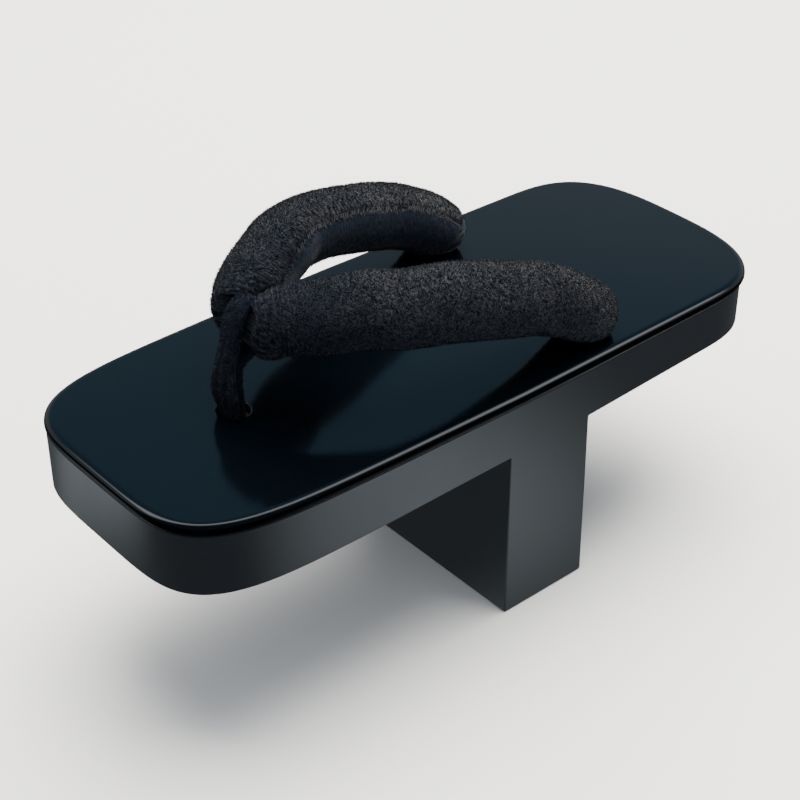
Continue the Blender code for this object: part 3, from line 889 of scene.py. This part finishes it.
# Toe loop: a strip of the same cloth, folded and gathered. It comes up through the toe hole,
# goes over the place where the rolls meet and back down, and is knotted under the deck.
# y, z from the deck's top, width and thickness of the gathered strip, in millimetres
LOOP_STATIONS = (
    (-79.4, -18.0, 7.0, 3.6),
    (-79.8, -7.0, 8.6, 4.0),
    (-79.8, 0.0, 9.6, 4.4),
    (-80.6, 4.5, 12.0, 5.4),
    (-81.0, 9.0, 13.6, 5.8),
    (-80.4, 15.0, 11.2, 5.2),
    (-79.0, 20.0, 9.8, 5.0),
    (-77.5, 24.5, 9.4, 5.2),
    (-76.4, 29.5, 9.4, 5.0),
    (-75.0, 33.6, 9.2, 4.6),
    (-73.0, 36.6, 8.8, 4.0),
    (-70.4, 37.8, 8.6, 3.6),
    (-67.4, 36.8, 8.6, 3.6),
    (-65.2, 33.6, 8.6, 3.6),
    (-64.6, 29.0, 8.4, 3.6),
    (-65.2, 25.0, 8.2, 3.6),
    (-67.8, 21.6, 8.2, 3.6),
    (-72.0, 20.2, 8.4, 3.8),
    (-75.8, 18.2, 8.8, 4.2),
    (-77.6, 14.2, 9.8, 4.6),
    (-77.9, 9.0, 11.8, 5.2),
    (-77.4, 4.5, 10.8, 4.8),
    (-76.8, 0.0, 9.4, 4.2),
    (-76.6, -7.0, 8.4, 4.0),
    (-76.8, -18.0, 7.0, 3.6),
)
LOOP_STEPS = 8
FOLD_COUNT = 5
FOLD_SIDES = 14
FOLD_SWING = 0.20
FOLD_WAVE = 0.009
FOLD_SEED = 12
LOOP_VOXEL = 0.00032
LOOP_PILE_DENSITY = 1.6
LOOP_PILE_LENGTH = 0.9
LOOP_COMBED = 0.25
LOOP_DARK = (0.0014, 0.0034, 0.0078, 1)
LOOP_LIGHT = (0.0190, 0.0205, 0.0240, 1)

rows = smooth_rows(LOOP_STATIONS, LOOP_STEPS) / 1000
route = np.stack([np.zeros(len(rows)), rows[:, 0], rows[:, 1] + deck_top], axis=1)
along = unit(np.gradient(route, axis=0))
side_way = np.array((1.0, 0.0, 0.0))
out_way = np.cross(side_way, along)
loop_travel = np.concatenate([[0], np.cumsum(np.linalg.norm(np.diff(route, axis=0), axis=1))])
fold_turns = np.linspace(0, 2 * math.pi, FOLD_SIDES, endpoint=False)
chance = np.random.default_rng(FOLD_SEED)
bm = bmesh.new()
for number in range(FOLD_COUNT):
    place = 2 * number / (FOLD_COUNT - 1) - 1
    pace, start = chance.uniform(0.7, 1.4), chance.uniform(0, 2 * math.pi)
    swing = FOLD_SWING * np.sin(loop_travel / FOLD_WAVE * pace + start)
    tall = rows[:, 3] / 2 * (chance.uniform(0.72, 1.0) - 0.22 * place ** 2)
    tall = tall * (1 + 0.10 * np.sin(loop_travel / 0.006 + start))
    broad = rows[:, 2] / 2 / FOLD_COUNT * chance.uniform(2.0, 2.7)
    shift = (place * 0.9 + swing) * (rows[:, 2] / 2 - broad)
    rings = []
    for at, way, x, half_wide, half_tall in zip(route, out_way, shift, broad, tall):
        rings.append(
            at + side_way * (x + np.cos(fold_turns) * half_wide)[:, None]
            + way * (np.sin(fold_turns) * half_tall)[:, None]
        )
    skin(bm, rings)
toe_loop = piece_from("cloth_toe_loop", bm)
loop_cloth = nap_material("gathered_cloth", LOOP_DARK, LOOP_LIGHT, 1.0)
merge = toe_loop.modifiers.new("one cloth", "REMESH")
merge.mode = "VOXEL"
merge.voxel_size = LOOP_VOXEL
merge.use_smooth_shade = True
settle(toe_loop)
toe_loop.data.materials.clear()
toe_loop.data.materials.append(loop_cloth)
points = np.array([vertex.co for vertex in toe_loop.data.vertices])
nearest = np.concatenate([
    np.linalg.norm(part_of[:, None, 1:] - route[None, :, 1:], axis=2).argmin(axis=1)
    for part_of in np.array_split(points, 40)])
mark_cloth(toe_loop.data, {
    "cloth_place": np.stack([
        loop_travel[nearest], points[:, 0], np.zeros(len(points))], axis=1),
    "lie": -0.5 * along[nearest], "combed": np.full(len(points), LOOP_COMBED),
    "lining": np.zeros(len(points)),
})
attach(toe_loop, "root")
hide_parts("toe_loop")
loop_pile = grow_pile(toe_loop, "toe_loop_pile", PILE_PER_SQUARE_METRE * LOOP_PILE_DENSITY,
                      PILE_LENGTH * LOOP_PILE_LENGTH, PILE_RADIUS, loop_cloth)
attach(loop_pile, "root")

# Tails and knots: under each end of the thong two twisted cotton cords go down through the
# hole. Like the toe loop's ends they are tied in a plain knot, which sits in the counterbore.
TAIL_RADIUS = 0.0042
KNOT_RADIUS = 0.0064
KNOT_CORD_RADIUS = 0.0022
TAIL_ROOT = 0.0040
TAIL_TWISTS = 1.6
CORD_SIDES = 20
TAIL_STEPS = 60
KNOT_STEPS = 140
COTTON_DARK = (0.0040, 0.0046, 0.0056, 1)
COTTON_LIGHT = (0.0125, 0.0130, 0.0140, 1)


def sweep(bm, points, radius, closed=False):
    """A round cord along points, with rounded-off ends or closed on itself."""
    path = np.array(points)
    if closed:
        ways = unit(np.roll(path, -1, axis=0) - np.roll(path, 1, axis=0))
    else:
        ways = unit(np.gradient(path, axis=0))
    side = unit(np.cross(ways[0], (0.3, 0.5, 0.8)))
    rings = []
    for at, way in zip(path, ways):
        side = unit(side - way * (side @ way))
        other = np.cross(way, side)
        rings.append([at + radius * (side * math.cos(turn) + other * math.sin(turn))
                      for turn in np.linspace(0, 2 * math.pi, CORD_SIDES, endpoint=False)])
    skin(bm, rings, closed=closed)


bm = bmesh.new()
for number, (x, y) in enumerate(hole_places):
    knot_middle = underside(y) + COUNTERBORE_DEPTH / 2
    size = (KNOT_RADIUS - KNOT_CORD_RADIUS) / 3
    turns_of_knot = np.linspace(0, 2 * math.pi, KNOT_STEPS, endpoint=False) + number
    sweep(bm, np.stack([
        x + size * (np.sin(turns_of_knot) + 2 * np.sin(2 * turns_of_knot)),
        y + size * (np.cos(turns_of_knot) - 2 * np.cos(2 * turns_of_knot)),
        knot_middle - size * np.sin(3 * turns_of_knot),
    ], axis=1), KNOT_CORD_RADIUS, closed=True)
    if x == 0:
        continue
    for half_turn in (0, math.pi):
        heights = np.linspace(deck_top + TAIL_ROOT, knot_middle, TAIL_STEPS)
        twist = half_turn + np.linspace(0, TAIL_TWISTS * 2 * math.pi, TAIL_STEPS)
        swing = TAIL_RADIUS - KNOT_CORD_RADIUS
        sweep(bm, np.stack([
            x + swing * np.cos(twist), y + swing * np.sin(twist), heights,
        ], axis=1), KNOT_CORD_RADIUS)
tails = piece_from("tails_and_knots", bm)
cotton, tree, shader = new_material("black_cotton_cord", COTTON_DARK, 0.85)
shader.inputs["Specular IOR Level"].default_value = 0.15
shader.inputs["Sheen Weight"].default_value = 0.15
cord_place = tree.nodes.new("ShaderNodeTexCoord")
yarn = add_node(tree, "ShaderNodeTexWave", {"Scale": 330.0, "Distortion": 2.5, "Detail": 2.0},
                bands_direction="DIAGONAL")
tone = add_node(tree, "ShaderNodeMix", {"A": COTTON_DARK, "B": COTTON_LIGHT}, data_type="RGBA")
twisted = add_node(tree, "ShaderNodeBump", {"Strength": 0.6, "Distance": 0.0004})
wire(tree, cord_place, "Object", yarn, "Vector")
wire(tree, yarn, "Fac", tone, "Factor")
wire(tree, tone, "Result", shader, "Base Color")
wire(tree, yarn, "Fac", twisted, "Height")
wire(tree, twisted, "Normal", shader, "Normal")
tails.data.materials.append(cotton)
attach(tails, "root")

# Floor: a pale seamless sheet, wide enough for every view. Its reflection in the sandal is
# painted: reflected rays see a dim glow in place of the lit floor, with two brighter painted pools
# beside the toe and the tooth. Bounced light sees the floor darker and bluer, painted shade on the
# sandal's shaded undersides.
FLOOR_RADIUS = 9.0
FLOOR_COLOR = (0.82, 0.80, 0.755, 1)
FLOOR_BOUNCE_PAINTED_SHADE = (0.30, 0.38, 0.48, 1)
PAINTED_REFLECTION_BASE = 0.20
PAINTED_REFLECTION_POOLS = (((-0.112, -0.215, 0.0), 0.078, 1.9), ((0.145, 0.012, 0.0), 0.130, 1.95))
bm = bmesh.new()
bmesh.ops.create_circle(bm, cap_ends=True, radius=FLOOR_RADIUS, segments=96)
floor = piece_from("floor", bm)
paper, tree, shader = new_material("pale_paper", FLOOR_COLOR, 0.65)
shader.inputs["Specular IOR Level"].default_value = 0.0
floor_place = tree.nodes.new("ShaderNodeTexCoord")
total = None
for center, radius_of_pool, strength in PAINTED_REFLECTION_POOLS:
    gap = add_node(tree, "ShaderNodeVectorMath", {1: center}, operation="DISTANCE")
    fade = add_node(tree, "ShaderNodeMapRange", {
        "From Min": radius_of_pool, "From Max": 0.0, "To Max": strength,
    }, interpolation_type="SMOOTHSTEP")
    joined = add_node(tree, "ShaderNodeMath", {1: PAINTED_REFLECTION_BASE}, operation="ADD")
    wire(tree, floor_place, "Object", gap, 0)
    wire(tree, gap, "Value", fade, "Value")
    wire(tree, fade, "Result", joined, 0)
    if total:
        wire(tree, total, 0, joined, 1)
    total = joined
# painted reflection: a glow seen only in reflections, dim but for the two pools
painted_reflection_glow = add_node(tree, "ShaderNodeEmission", {"Color": (0.86, 0.95, 1.0, 1)})
ray = tree.nodes.new("ShaderNodeLightPath")
# painted shade: light bounced off the floor sees it darker and bluer, which darkens and tints the
# sandal's undersides
painted_shade_bounce = add_node(tree, "ShaderNodeMix", {"A": FLOOR_COLOR, "B": FLOOR_BOUNCE_PAINTED_SHADE}, data_type="RGBA")
wire(tree, ray, "Is Diffuse Ray", painted_shade_bounce, "Factor")
wire(tree, painted_shade_bounce, "Result", shader, "Base Color")
either = tree.nodes.new("ShaderNodeMixShader")
wire(tree, total, 0, painted_reflection_glow, "Strength")
wire(tree, ray, "Is Glossy Ray", either, "Fac")
wire(tree, shader, "BSDF", either, 1)
wire(tree, painted_reflection_glow, "Emission", either, 2)
wire(tree, either, "Shader", tree.nodes["Material Output"], "Surface")
floor.data.materials.append(paper)

# Light: one large soft box overhead, a little behind the sandal, in a pale room. The deck
# mirrors the room's navy end, and its rounded rim a bright strip of wall next to black card.
KEY_PLACE = (-0.30, 0.36, 1.50)
KEY_SIZE = 1.6
KEY_POWER = 122
KEY_COLOR = (1.0, 0.985, 0.955)
ROOM_FILL = (0.72, 0.78, 0.88, 1)
WALL_PALE = (3.9, 3.75, 3.45, 1)
WALL_LOW = (0.42, 0.45, 0.48, 1)
WALL_MIDDLE = (0.145, 0.265, 0.365, 1)
WALL_HIGH = (0.10, 0.20, 0.30, 1)
BLACK_CARD = (0.03, 0.035, 0.045, 1)
BRIGHT_END = 3.4
BRIGHT_SIDE = (0.76, -0.65, 0.0)
scene = bpy.context.scene
key = bpy.data.lights.new("key", "AREA")
key.shape = "SQUARE"
key.size = KEY_SIZE
key.energy = KEY_POWER
key.color = KEY_COLOR
key_box = bpy.data.objects.new("key", key)
key_box.location = KEY_PLACE
key_box.rotation_euler = Vector(KEY_PLACE).to_track_quat("Z", "Y").to_euler()
key_box.visible_glossy = False
scene.collection.objects.link(key_box)
world = bpy.data.worlds.new("room")
scene.world = world
world.use_nodes = True
tree = world.node_tree
background = tree.nodes["Background"]
background.inputs["Strength"].default_value = 1.0
direction = tree.nodes.new("ShaderNodeTexCoord")
split = tree.nodes.new("ShaderNodeSeparateXYZ")
walls = tree.nodes.new("ShaderNodeValToRGB")
walls.color_ramp.elements[0].position = 0.38
walls.color_ramp.elements[0].color = WALL_LOW
walls.color_ramp.elements[1].position = 0.72
walls.color_ramp.elements[1].color = WALL_HIGH
walls.color_ramp.elements.new(0.54).color = WALL_MIDDLE
near_side = add_node(tree, "ShaderNodeVectorMath", {1: BRIGHT_SIDE}, operation="DOT_PRODUCT")
turned_near = add_node(tree, "ShaderNodeMapRange", {"From Min": -0.26, "From Max": -0.16})
turned_past = add_node(tree, "ShaderNodeMapRange", {
    "From Min": 0.06, "From Max": 0.18, "To Min": 1.0, "To Max": 0.0})
over_floor = add_node(tree, "ShaderNodeMapRange", {"From Min": 0.36, "From Max": 0.50})
sideways = add_node(tree, "ShaderNodeMath", operation="MULTIPLY")
band = add_node(tree, "ShaderNodeMath", operation="MULTIPLY")
band_strength = add_node(tree, "ShaderNodeMath", {1: BRIGHT_END}, operation="MULTIPLY")
carded = add_node(tree, "ShaderNodeMix", {"A": BLACK_CARD}, data_type="RGBA")
lit = add_node(tree, "ShaderNodeMix", {"Factor": 1.0}, data_type="RGBA", blend_type="ADD")
mirrored = add_node(tree, "ShaderNodeMix", {"A": ROOM_FILL}, data_type="RGBA")
seen = add_node(tree, "ShaderNodeMix", {"B": WALL_PALE}, data_type="RGBA")
ray = tree.nodes.new("ShaderNodeLightPath")
wire(tree, direction, "Generated", split, "Vector")
wire(tree, direction, "Generated", near_side, 0)
wire(tree, near_side, "Value", turned_near, "Value")
wire(tree, split, "Z", over_floor, "Value")
wire(tree, split, "Z", walls, "Fac")
wire(tree, near_side, "Value", turned_past, "Value")
wire(tree, turned_near, "Result", sideways, 0)
wire(tree, turned_past, "Result", sideways, 1)
wire(tree, sideways, 0, band, 0)
wire(tree, over_floor, "Result", band, 1)
wire(tree, band, 0, band_strength, 0)
wire(tree, turned_past, "Result", carded, "Factor")
wire(tree, walls, "Color", carded, "B")
wire(tree, carded, "Result", lit, "A")
wire(tree, band_strength, 0, lit, "B")
wire(tree, lit, "Result", mirrored, "B")
wire(tree, ray, "Is Glossy Ray", mirrored, "Factor")
wire(tree, mirrored, "Result", seen, "A")
wire(tree, ray, "Is Camera Ray", seen, "Factor")
wire(tree, seen, "Result", background, "Color")
